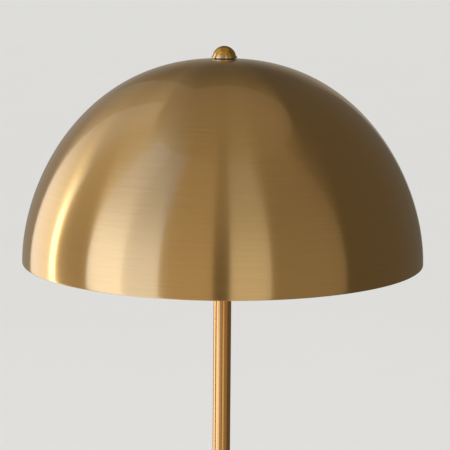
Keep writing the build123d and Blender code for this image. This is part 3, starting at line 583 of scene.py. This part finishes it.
class LAMP_OT_base(bpy.types.Operator):
    """Spins the base's cover and turns its collar, felt pad and cord bush"""
    bl_idname = "lamp.base"
    bl_label = "Base"

    def execute(self, context):
        sizes = context.scene.lamp_sizes
        radius, bottom, top = span("base_shell")
        wall, corner, crown = sizes.base_wall, sizes.base_shoulder, sizes.base_crown
        edge_top = top - sizes.base_fall
        middle, rim = (radius - corner, edge_top - corner), 0.4 * MM
        bm = bmesh.new()
        draw(bm, (NIPPLE_HOLE, top), (crown, top), (radius - corner, edge_top), Arc(middle, -90, 20),
             (radius, bottom + rim), Arc((radius - rim, bottom + rim), -90, 4),
             (radius - wall, bottom), (radius - wall, middle[1]), Arc(middle, 90, 16),
             (crown, top - wall), (NIPPLE_HOLE, top - wall), closed=True)
        turn(bm, 256)
        cover = finish_piece(bm, "base_cover", "stand", ["base_shell"],
                             finish("brushed_brass"))
        low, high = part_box("cord_bush")
        inlet = (low.z + high.z) / 2
        flange, body, bore, rim = (high.z - low.z) / 2, 5.0 * MM, 3.3 * MM, 1.8 * MM
        drill(cover, Vector((0, radius, inlet)), BACK, body + 0.05 * MM, 10 * MM)
        start, end = low.y, high.y
        inner, outer, lip = 0.5 * MM, 0.9 * MM, 0.6 * MM
        bm = bmesh.new()
        draw(bm, (bore, start), (flange - inner, start), Arc((flange - inner, start + inner), 90, 4),
             (flange, start + rim), (body, start + rim), (body, end - rim), (flange, end - rim),
             (flange, end - outer), Arc((flange - outer, end - outer), 90, 6),
             (bore + lip, end), Arc((bore + lip, end - lip), 90, 5), closed=True)
        turn(bm, 64)
        bmesh.ops.transform(bm, verts=bm.verts, matrix=Matrix.Translation((0, 0, inlet))
                            @ Matrix.Rotation(math.radians(-90), 4, "X"))
        finish_piece(bm, "inlet_bush", "stand", ["cord_bush"], finish("rubber"))
        foot, bottom, top = span("base_collar")
        side, rounded = bottom + 1.6 * MM, 0.9 * MM
        ledge, neck = foot - 1.5 * MM, 12.6 * MM
        bm = bmesh.new()
        draw(bm, (POLE_HOLE, bottom), (foot, bottom), (foot, side), Arc((foot - rounded, side), 90, 6),
             (ledge, side + rounded), (ledge, bottom + 2.8 * MM), (neck, top - 1.2 * MM),
             (neck - 0.4 * MM, top - 0.6 * MM), (neck - 1.1 * MM, top), (POLE_HOLE, top), closed=True)
        turn(bm, 128)
        finish_piece(bm, "foot_collar", "stand", ["base_collar"], finish("polished_brass"))
        radius, bottom, top = span("base_pad")
        soft_edge = 0.5 * MM
        bm = bmesh.new()
        draw(bm, (0, bottom), (radius - soft_edge, bottom), Arc((radius - soft_edge, bottom + soft_edge), 90, 3),
             (radius, top), (0, top))
        turn(bm, 192)
        finish_piece(bm, "felt_pad", "stand", ["base_pad"], finish("felt"))
        return {"FINISHED"}


class LAMP_OT_harp(bpy.types.Operator):
    """Bends the harp's wire, turns its threaded stud and presses its two ferrules"""
    bl_idname = "lamp.harp"
    bl_label = "Harp"

    def grow(self, bm, edges, step):
        """Draws the wire's end on by a straight step, and gives its new edges and vertices."""
        grown = bmesh.ops.extrude_edge_only(bm, edges=edges)["geom"]
        verts = only(grown, bmesh.types.BMVert)
        ends = [edge for edge in only(grown, bmesh.types.BMEdge) if all(v in verts for v in edge.verts)]
        bmesh.ops.translate(bm, vec=step, verts=verts)
        return ends, verts

    def execute(self, context):
        sizes = context.scene.lamp_sizes
        low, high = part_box("harp")
        wire, soft_edge = sizes.wire, 0.4 * MM
        crown, half = high.z - wire, high.x - wire
        saddle_top = low.z - 2.2 * MM
        leg, leg_corner = 31.2 * MM, saddle_top + 42 * MM
        swell_corner, shoulder, top_half = saddle_top + 90 * MM, crown - 45 * MM, 26 * MM
        corners = [Vector((across, 0, height)) for across, height in (
            (leg, low.z), (leg, leg_corner), (half, swell_corner), (half, shoulder), (top_half, crown),
            (0, crown))]
        radii = (40 * MM, 60 * MM, 40 * MM, 30 * MM)
        bm = bmesh.new()
        bmesh.ops.create_circle(bm, cap_ends=True, segments=20, radius=wire - soft_edge,
                                matrix=Matrix.Translation(corners[0]))
        edges, verts = self.grow(bm, bm.edges[:], Vector((0, 0, soft_edge)))
        bmesh.ops.scale(bm, vec=(wire / (wire - soft_edge),) * 2 + (1,), verts=verts,
                        space=Matrix.Translation(-corners[0]))
        here = corners[0] + Vector((0, 0, soft_edge))
        for before, corner, after, radius in zip(corners, corners[1:], corners[2:], radii):
            into, out = (corner - before).normalized(), (after - corner).normalized()
            angle = into.angle(out)
            cut = radius * math.tan(angle / 2)
            edges, verts = self.grow(bm, edges, corner - into * cut - here)
            side = into.cross(out).normalized()
            centre = corner - into * cut + side.cross(into) * radius
            bent = bmesh.ops.spin(bm, geom=edges, cent=centre, axis=side, angle=angle, steps=14,
                                  use_duplicate=False)["geom_last"]
            edges = only(bent, bmesh.types.BMEdge)
            here = corner + out * cut
        self.grow(bm, edges, corners[-1] - here)
        bmesh.ops.mirror(bm, geom=bm.verts[:] + bm.edges[:] + bm.faces[:], axis="X", merge_dist=1e-5)
        bmesh.ops.remove_doubles(bm, verts=bm.verts, dist=1e-6)
        bmesh.ops.recalc_face_normals(bm, faces=bm.faces)
        wire_mesh = bpy.data.meshes.new("wire")
        bm.to_mesh(wire_mesh)
        bm.free()
        bm = bmesh.new()
        pad, hole, edge = 8.0 * MM, 2.22 * MM, 0.5 * MM
        draw(bm, (hole, crown - wire), (pad - edge, crown - wire),
             Arc((pad - edge, crown - wire + edge), 90, 4), (pad, crown + wire - edge),
             Arc((pad - edge, crown + wire - edge), 90, 4), (hole, crown + wire), closed=True)
        turn(bm, 64)
        bm.from_mesh(wire_mesh)
        bpy.data.meshes.remove(wire_mesh)
        finish_piece(bm, "harp_wire", "stand", ["harp"], finish("plated_brass"), 35)

        flange, bottom, top = span("harp_stud")
        head, head_height, neck, edge = 3.8 * MM, 1.2 * MM, 2.2 * MM, 0.5 * MM
        thread_bottom, thread_top = top - 11 * MM, top - 0.6 * MM
        flange_height, flange_edge, tip, rows = 2 * MM, 0.3 * MM, 2.6 * MM, 96
        pitch_start = thread_bottom + 0.6 * MM
        wall = [(STUD_THREAD, thread_bottom + (thread_top - thread_bottom) * row / rows)
                for row in range(rows + 1)]
        bm = bmesh.new()
        draw(bm, (0, bottom), (head - edge, bottom), Arc((head - edge, bottom + edge), 90, 4),
             (head, bottom + head_height), (neck, bottom + head_height),
             (neck, thread_bottom - flange_height), (flange - flange_edge, thread_bottom - flange_height),
             (flange, thread_bottom - flange_height + flange_edge), (flange, thread_bottom - flange_edge),
             (flange - flange_edge, thread_bottom), *wall, (tip, top), (0, top))
        turn(bm, 48)
        wave_thread(bm, pitch_start, thread_top, sizes.stud_pitch, 0.4 * MM, 1.0 * MM,
                    lambda co: math.hypot(co.x, co.y) > 3.0 * MM)
        finish_piece(bm, "crown_stud", "stand", ["harp_stud"], finish("raw_brass"), 40)

        corner, wall, edge = 1.6 * MM, 0.8 * MM, 0.25 * MM
        for node in ("ferrule_left", "ferrule_right"):
            low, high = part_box(node)
            bm = bmesh.new()
            bmesh.ops.create_cube(bm, size=1.0, matrix=Matrix.LocRotScale((low + high) / 2, None, high - low))
            upright = [e for e in bm.edges if abs((e.verts[0].co - e.verts[1].co).z) > 1 * MM]
            bmesh.ops.bevel(bm, geom=upright, offset=corner, segments=6, profile=0.5, affect="EDGES",
                            material=-1)
            ends = [f for f in bm.faces if abs(f.normal.z) > 0.9]
            rims = [e for f in ends for e in f.edges]
            bmesh.ops.inset_individual(bm, faces=ends, thickness=wall, depth=0.0)
            loops = [e for f in ends for e in f.edges]
            bmesh.ops.delete(bm, geom=ends, context="FACES_ONLY")
            bmesh.ops.bridge_loops(bm, edges=loops)
            bmesh.ops.bevel(bm, geom=[e for e in rims if e.is_valid], offset=edge, segments=3,
                            profile=0.5, affect="EDGES", material=-1)
            bmesh.ops.recalc_face_normals(bm, faces=bm.faces)
            finish_piece(bm, node + "_sleeve", node, [node], finish("plated_brass"), 35)
        return {"FINISHED"}


class LAMP_OT_lampholder(bpy.types.Operator):
    """Spins the lampholder's cap and shell, rolls its screw shell and moulds the switch knob"""
    bl_idname = "lamp.lampholder"
    bl_label = "Lampholder"

    def execute(self, context):
        sizes = context.scene.lamp_sizes
        radius, bottom, top = span("socket_cap")
        wall, side, edge, foot = 0.6 * MM, radius - 0.35 * MM, 0.2 * MM, 8.2 * MM
        throat, inside = bottom + 8 * MM, radius - wall
        bm = bmesh.new()
        draw(bm, (NIPPLE_HOLE, bottom), (foot, bottom), Arc((foot, bottom + 3 * MM), 62, 8),
             (15.3 * MM, bottom + 9.8 * MM), Arc((13.2 * MM, bottom + 13.4 * MM), 60, 10),
             (side, bottom + 16 * MM), (side, top - 3.2 * MM), (radius, top - 2.6 * MM),
             (radius, top - edge), (radius - edge, top), (inside, top), (inside, bottom + 14 * MM),
             (10 * MM, throat), (7.5 * MM, throat), (NIPPLE_HOLE, throat), closed=True)
        turn(bm, 128)
        cap = finish_piece(bm, "holder_cap", "stand", ["socket_cap"],
                           finish("plated_brass"), 40)
        low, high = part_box("cap_screw")
        drill(cap, (low + high) / 2, BACK, high.x + 0.05 * MM, high.y - low.y + 1 * MM)

        radius, bottom, top = span("socket_shell")
        wall, bead, rounded, lip = 0.5 * MM, radius - 0.35 * MM, 0.8 * MM, 0.25 * MM
        mouth = 15.3 * MM + lip
        first, second = top - 12 * MM, top - 4.5 * MM
        bm = bmesh.new()
        draw(bm, (radius, bottom), (radius, first), (bead, first + 0.7 * MM), (bead, first + 1.5 * MM),
             (radius, first + 2.2 * MM), (radius, second), (bead, second + 0.7 * MM),
             (bead, second + 1.1 * MM), (radius, second + 1.8 * MM), (radius, top - rounded),
             Arc((radius - rounded, top - rounded), 90, 6), (mouth, top), Arc((mouth, top - lip), 180, 6),
             (radius - wall, top - wall), (radius - wall, bottom), closed=True)
        turn(bm, 128)
        shell = finish_piece(bm, "holder_shell", "stand", ["socket_shell"],
                             finish("plated_brass"), 40)
        low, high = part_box("switch_knob")
        axis_height = (low.z + high.z) / 2
        drill(shell, Vector((0, -radius, axis_height)), FRONT, 3.0 * MM, 12 * MM)

        near, far, knob = -high.y, -low.y, (high.z - low.z) / 2
        shaft_hole, edge, flutes, flute_depth = 1.62 * MM, 0.8 * MM, 12, 0.13
        bm = bmesh.new()
        draw(bm, (shaft_hole, near), (knob - edge, near), (knob, near + edge), (knob, far - edge),
             Arc((knob - edge, far - edge), 90, 5), (0, far))
        turn(bm, 144)
        for vert in bm.verts:
            reach = math.hypot(vert.co.x, vert.co.y)
            if reach > knob - 1.5 * edge:
                groove = abs(math.cos(flutes / 2 * math.atan2(vert.co.y, vert.co.x))) ** 6
                vert.co.xy *= 1 - flute_depth * groove
        bmesh.ops.transform(bm, verts=bm.verts, matrix=Matrix.Translation((0, 0, axis_height))
                            @ Matrix.Rotation(math.radians(90), 4, "X"))
        finish_piece(bm, "turn_knob", "switch", ["switch_knob"], finish("black_phenolic"))

        radius, bottom, top = span("screw_shell")
        wall, rows = 0.4 * MM, 70
        steps = [bottom + (top - bottom) * row / rows for row in range(rows + 1)]
        bm = bmesh.new()
        draw(bm, *[(radius, height) for height in steps],
             *[(radius - wall, height) for height in reversed(steps)], closed=True)
        turn(bm, 96)
        wave_thread(bm, bottom + 1 * MM, top - 1 * MM, sizes.thread_pitch, 0.32 * MM, 2 * MM, lambda co: True)
        finish_piece(bm, "rolled_shell", "stand", ["screw_shell"],
                     finish("aluminium_shell"), 45)
        return {"FINISHED"}


class LAMP_OT_bulb(bpy.types.Operator):
    """Rolls the bulb's cap, and moulds its body and opal globe"""
    bl_idname = "lamp.bulb"
    bl_label = "Bulb"

    def execute(self, context):
        sizes = context.scene.lamp_sizes
        radius, bottom, top = span("bulb_cap")
        wall, start, rows = 0.3 * MM, bottom + 1 * MM, 80
        side = [(radius, start + (top - start) * row / rows) for row in range(rows + 1)]
        bm = bmesh.new()
        draw(bm, (0, bottom), (radius - 1.2 * MM, bottom), *side, (radius - wall, top),
             (radius - wall, bottom + 1.2 * MM), (0, bottom + wall))
        turn(bm, 96)
        wave_thread(bm, start, top - 0.4 * MM, sizes.thread_pitch, 0.9 * MM, 2 * MM,
                    lambda co: math.hypot(co.x, co.y) > radius - 0.1 * MM)
        finish_piece(bm, "threaded_cap", "bulb", ["bulb_cap"],
                     finish("aluminium_shell"), 50)

        widest, _, equator = span("bulb_housing")
        neck, neck_end, wall, edge = 14.3 * MM, top + 3 * MM, 1.2 * MM, 0.4 * MM
        reach = math.hypot(widest - neck, equator - neck_end) / 3
        side = interpolate_bezier(Vector((neck, neck_end, 0)), Vector((neck, neck_end + reach, 0)),
                                  Vector((widest, equator - reach, 0)), Vector((widest, equator, 0)), 40)
        bm = bmesh.new()
        draw(bm, (radius - 1.6 * MM, top), (neck - edge, top), Arc((neck - edge, top + edge), 90, 4),
             *[(point.x, point.y) for point in side[:-1]], (widest, equator - edge),
             (widest - 0.35 * MM, equator), (widest - wall, equator),
             *[(point.x - wall, point.y) for point in reversed(side[:-1])], closed=True)
        turn(bm, 128)
        finish_piece(bm, "bulb_body", "bulb", ["bulb_housing"], finish("white_plastic"), 40)

        globe, start, peak = span("bulb_diffuser")
        wall, edge = 1 * MM, 0.3 * MM
        bm = bmesh.new()
        draw(bm, (globe - edge, start), Arc((globe - edge, start + edge), 90, 3),
             Arc((0, start), 89.2, 48), (0, peak), (0, peak - wall), (1 * MM, peak - wall),
             Arc((0, start), -87.8, 40), (globe - wall, start), closed=True)
        turn(bm, 128)
        finish_piece(bm, "bulb_globe", "bulb", ["bulb_diffuser"], finish("opal_plastic"), 40)
        return {"FINISHED"}


class LAMP_OT_inner_finishes(bpy.types.Operator):
    """Gives each solid that stays in view the material of its slot"""
    bl_idname = "lamp.inner_finishes"
    bl_label = "Inner finishes"

    def execute(self, context):
        for part in frame["record"]["subparts"]:
            solid = frame["nodes"][part["node"]]
            if not solid.hide_render:
                solid.data.materials.clear()
                solid.data.materials.append(finish(part["material_slot"]))
        return {"FINISHED"}


# The reflectors stand in a drum round the lamp, which only gloss shows: a bright window on the left, the
# dim walls beside it and a dark room on the right. Each row gives a name, the bearings it runs between,
# in degrees from the camera's side to the right, its colour, and its levels below and above its fade.
REFLECTOR_INNER, REFLECTOR_REACH = 0.35, 3.0
REFLECTOR_LOW, REFLECTOR_TOP = 0.02, 6.6
FADE_BOTTOM, FADE_TOP = 1.9, 3.1
COOL, WHITE, WARM = "#d0dcff", "#ffffff", "#fff0d8"
REFLECTORS = (
    ("back_wall", 160, 200, WARM, 0.3, 0.1),
    ("far_left_wall", 200, 225, WARM, 0.3, 0.3),
    ("side_window", 225, 250, WHITE, 1.2, 0.6),
    ("window_gap", 250, 256, WHITE, 3.0, 0.5),
    ("curtain", 256, 282, WARM, 0.4, 0.5),
    ("window", 282, 305, COOL, 2.2, 1.0),
    ("window_side", 305, 326, COOL, 1.6, 0.7),
    ("front_left_wall", 326, 355, WARM, 0.5, 0.4),
    ("camera_flag", 355, 364, WARM, 0.15, 0.3),
    ("front_card", 364, 386, WHITE, 0.7, 0.4),
    ("right_wall", 386, 430, WARM, 0.3, 0.25),
    ("dark_room", 430, 520, WARM, 0.12, 0.12),
)
ROOF, ROOF_LEVEL, ROOF_HOLE = WARM, 0.3, 0.01
FLOOR_RADIUS = 320.0
LAMP_AIM = Vector((0, 0, 1.0))

# The camera's place in metres, and its dip and roll in radians, were fitted to the dome's outline in the
# photo.
CAMERA_PLACE, CAMERA_DIP, CAMERA_ROLL = (0.00196, -1.48298, 1.565), 0.1627, 0.008
CAMERA_LENS, CAMERA_SENSOR = 120.0, 36.0


class LAMP_OT_stage(bpy.types.Operator):
    """Lays the floor, hangs the lamps and reflectors, and sets the camera"""
    bl_idname = "lamp.stage"
    bl_label = "Stage"

    def reflector(self, name, start, end, section, hue, low, high):
        """A glowing sheet round the lamp between two bearings, which only gloss shows."""
        bm = bmesh.new()
        turned = Matrix.Rotation(math.radians(start), 4, "Z")
        points = [bm.verts.new(turned @ Vector((0, -out, height))) for out, height in section]
        edges = [bm.edges.new(pair) for pair in zip(points, points[1:])]
        bmesh.ops.spin(bm, geom=points + edges, cent=(0, 0, 0), axis=UP, angle=math.radians(end - start),
                       steps=max(2, round((end - start) / 2)), use_duplicate=False)
        card = place_mesh(bm, name)
        glow = bpy.data.materials.new(name)
        tree = empty_tree(glow)
        place = add(tree, "ShaderNodeTexCoord").outputs["Object"]
        height = add(tree, "ShaderNodeSeparateXYZ", {"Vector": place}).outputs["Z"]
        strength = add(tree, "ShaderNodeMapRange", {
            "Value": height, "From Min": FADE_BOTTOM, "From Max": FADE_TOP, "To Min": low, "To Max": high})
        lit = add(tree, "ShaderNodeEmission", {"Color": rgba(linear(hue)),
                                               "Strength": strength.outputs["Result"]})
        add(tree, "ShaderNodeOutputMaterial", {"Surface": lit.outputs["Emission"]})
        card.data.materials.append(glow)
        card.visible_camera = card.visible_diffuse = card.visible_shadow = False
        card.visible_transmission = card.visible_volume_scatter = False

    def lay_floor(self, studio):
        """A pale floor, clear from below so that it hides nothing in a view from underneath."""
        made, tree, surface, place = shader("matt_floor_paint")
        mottle = add(tree, "ShaderNodeTexNoise", {"Vector": place, "Scale": 0.6, "Detail": 3.0})
        paint = tinted(tree, studio.floor_colour, mottle.outputs["Fac"], 0.985, 1.015)
        tree.links.new(paint, surface.inputs["Base Color"])
        settle(surface, Roughness=0.75)
        out = next(n for n in tree.nodes if n.type == "OUTPUT_MATERIAL")
        clear = add(tree, "ShaderNodeBsdfTransparent")
        mix = add(tree, "ShaderNodeMixShader", {0: add(tree, "ShaderNodeNewGeometry").outputs["Backfacing"],
                                                1: surface.outputs["BSDF"], 2: clear.outputs["BSDF"]})
        tree.links.new(mix.outputs["Shader"], out.inputs["Surface"])
        bm = bmesh.new()
        bmesh.ops.create_circle(bm, cap_ends=True, segments=96, radius=FLOOR_RADIUS)
        floor = place_mesh(bm, "floor")
        floor.data.materials.append(made)

    def light_room(self, context, studio):
        """A white sky for the even light, and the reflectors for gloss."""
        world = bpy.data.worlds.new("studio")
        context.scene.world = world
        tree = empty_tree(world)
        sky = add(tree, "ShaderNodeBackground", {"Color": (1.0, 1.0, 1.0, 1.0), "Strength": studio.sky})
        add(tree, "ShaderNodeOutputWorld", {"Surface": sky.outputs["Background"]})
        section = ((REFLECTOR_INNER, REFLECTOR_LOW), (REFLECTOR_REACH, REFLECTOR_LOW),
                   (REFLECTOR_REACH, REFLECTOR_TOP))
        for name, start, end, hue, low, high in REFLECTORS:
            self.reflector("reflector_" + name, start, end, section, hue, low, high)
        roof = ((ROOF_HOLE, REFLECTOR_TOP), (REFLECTOR_REACH, REFLECTOR_TOP))
        self.reflector("reflector_roof", 0, 360, roof, ROOF, ROOF_LEVEL, ROOF_LEVEL)

    def hang_lamps(self, context, studio):
        """Large soft lamps, which the metals don't mirror."""
        lamps = (("key_lamp", (-2.6, -2.6, 3.0), 2.4, studio.key_power),
                 ("fill_lamp", (3.0, -2.4, 2.6), 2.4, studio.fill_power),
                 ("top_lamp", (0.0, 0.6, 4.2), 3.0, studio.fill_power))
        for name, where, size, power in lamps:
            light = bpy.data.lights.new(name, "AREA")
            light.shape, light.size, light.energy = "SQUARE", size, power
            lamp = bpy.data.objects.new(name, light)
            context.scene.collection.objects.link(lamp)
            lamp.location = where
            lamp.rotation_euler = (LAMP_AIM - Vector(where)).to_track_quat("-Z", "Y").to_euler()
            lamp.visible_camera = lamp.visible_glossy = False

    def set_camera(self, context):
        """The camera at the photo's viewing angle, in front of the lamp and a little above its top."""
        camera = bpy.data.objects.new("camera", bpy.data.cameras.new("camera"))
        context.scene.collection.objects.link(camera)
        camera.data.lens, camera.data.sensor_width = CAMERA_LENS, CAMERA_SENSOR
        camera.data.clip_start, camera.data.clip_end = 0.05, 1000.0
        camera.matrix_world = (Matrix.Translation(CAMERA_PLACE)
                               @ Matrix.Rotation(math.pi / 2 - CAMERA_DIP, 4, "X")
                               @ Matrix.Rotation(CAMERA_ROLL, 4, "Z"))
        context.scene.camera = camera
        context.scene.view_settings.view_transform = "Standard"

    def execute(self, context):
        studio = context.scene.lamp_studio
        self.lay_floor(studio)
        self.light_room(context, studio)
        self.hang_lamps(context, studio)
        self.set_camera(context)
        return {"FINISHED"}


# ---- The sidebar, and the run ---------------------------------------------------------------

PIECES = (LAMP_OT_shade, LAMP_OT_finial, LAMP_OT_pole, LAMP_OT_base, LAMP_OT_harp, LAMP_OT_lampholder,
          LAMP_OT_bulb, LAMP_OT_inner_finishes, LAMP_OT_stage)


class LAMP_PT_sidebar(bpy.types.Panel):
    """Lists the lamp's pieces, sizes and colours"""
    bl_idname = "LAMP_PT_sidebar"
    bl_label = "Mushroom floor lamp"
    bl_space_type = "VIEW_3D"
    bl_region_type = "UI"
    bl_category = "Lamp"

    def draw(self, context):
        for piece in PIECES:
            self.layout.operator(piece.bl_idname)
        for group in (context.scene.lamp_sizes, context.scene.lamp_colours, context.scene.lamp_studio):
            box = self.layout.box()
            for name in group.bl_rna.properties.keys():
                if name not in ("rna_type", "name"):
                    box.prop(group, name)


CLASSES = (LampSizes, LampColours, LampStudio, *PIECES, LAMP_PT_sidebar)


def register():
    for each in CLASSES:
        bpy.utils.register_class(each)
    bpy.types.Scene.lamp_sizes = PointerProperty(type=LampSizes)
    bpy.types.Scene.lamp_colours = PointerProperty(type=LampColours)
    bpy.types.Scene.lamp_studio = PointerProperty(type=LampStudio)


def unregister():
    del bpy.types.Scene.lamp_sizes, bpy.types.Scene.lamp_colours, bpy.types.Scene.lamp_studio
    for each in reversed(CLASSES):
        bpy.utils.unregister_class(each)


def main():
    register()
    bpy.ops.lamp.shade()
    bpy.ops.lamp.finial()
    bpy.ops.lamp.pole()
    bpy.ops.lamp.base()
    bpy.ops.lamp.harp()
    bpy.ops.lamp.lampholder()
    bpy.ops.lamp.bulb()
    bpy.ops.lamp.inner_finishes()
    bpy.ops.lamp.stage()


if __name__ == "__main__":
    main()
